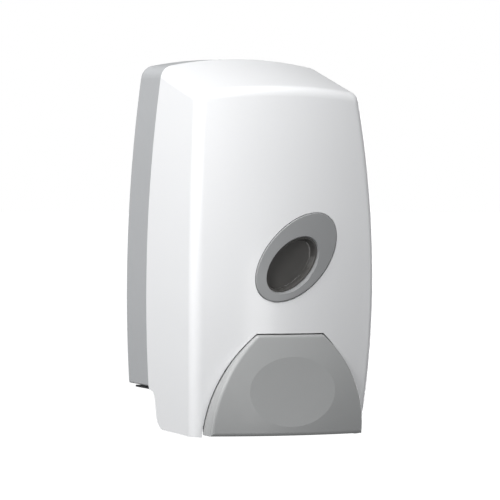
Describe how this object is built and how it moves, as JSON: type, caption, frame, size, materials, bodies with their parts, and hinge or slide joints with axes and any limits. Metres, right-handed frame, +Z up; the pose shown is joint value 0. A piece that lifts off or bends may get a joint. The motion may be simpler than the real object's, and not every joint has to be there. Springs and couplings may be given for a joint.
{
  "type": "wall mounted soap dispenser",
  "caption": "Wall-mounted push-button liquid soap dispenser with hinged lockable cover, sight window, refill tank and lift pump.",
  "frame": {"origin": "centre of the four wall-screw holes, in the wall face of the rear housing", "axes": "+X to the user's right facing the dispenser, +Y into the wall, +Z up"},
  "size_m": [0.1256, 0.1194, 0.2323],
  "materials": {
    "cover_white": "satin gloss",
    "housing_grey": "fine matt",
    "button_grey": "satin",
    "bezel_grey": "satin",
    "smoked_clear": "gloss, smoked",
    "natural_plastic": "translucent satin",
    "pump_white": "satin",
    "black_plastic": "matt",
    "silicone": "matt",
    "steel": "brushed",
    "zinc": "polished"
  },
  "bodies": {
    "housing": {"rear_housing": "housing_grey", "hinge_bracket": "black_plastic", "hinge_screws": "steel", "hinge_rod": "steel", "tank_cradle": "pump_white", "cradle_screws": "steel", "soap_tank": "natural_plastic", "tank_lid": "natural_plastic", "pump_nut": "pump_white", "pump_gasket": "silicone", "pump_body": "pump_white", "inlet_cage": "pump_white", "inlet_ball": "steel", "lock_sleeve": "zinc", "lock_nut": "zinc"},
    "lock": {"lock_plug": "zinc", "lock_cam": "steel", "cam_screw": "steel"},
    "cover": {"front_cover": "cover_white", "window_bezel": "bezel_grey", "window_lens": "smoked_clear", "lens_retainer": "black_plastic", "bezel_clips": "steel", "lock_catch": "steel", "catch_screws": "steel", "button_rod": "steel"},
    "button": {"push_button": "button_grey", "pump_fork": "pump_white", "fork_screws": "steel"},
    "plunger": {"piston_rod": "pump_white", "piston_seal": "silicone", "outlet_valve": "silicone", "return_spring": "steel"}
  },
  "joints": [
    {"name": "cover_hinge", "type": "hinge", "parent": "housing", "child": "cover", "pos_m": [0, -0.0365, -0.1021], "axis": [1, 0, 0], "range_deg": [0, 90]},
    {"name": "button_hinge", "type": "hinge", "parent": "cover", "child": "button", "pos_m": [0, -0.106, -0.0727], "axis": [1, 0, 0], "range_deg": [0, 12], "stiffness_Nm_per_rad": 2, "springref_deg": -5.73},
    {"name": "plunger_slide", "type": "slide", "parent": "housing", "child": "plunger", "axis": [0, 0, 1], "range_m": [0, 0.0073], "deforming": ["return_spring"]},
    {"name": "lock_turn", "type": "hinge", "parent": "housing", "child": "lock", "pos_m": [0, -0.016, 0.09], "axis": [0, 0, 1], "range_deg": [0, 90]}
  ],
  "couplings": [
    {"joint": "plunger_slide", "follows": "button_hinge", "m_per_rad": 0.0338}
  ]
}
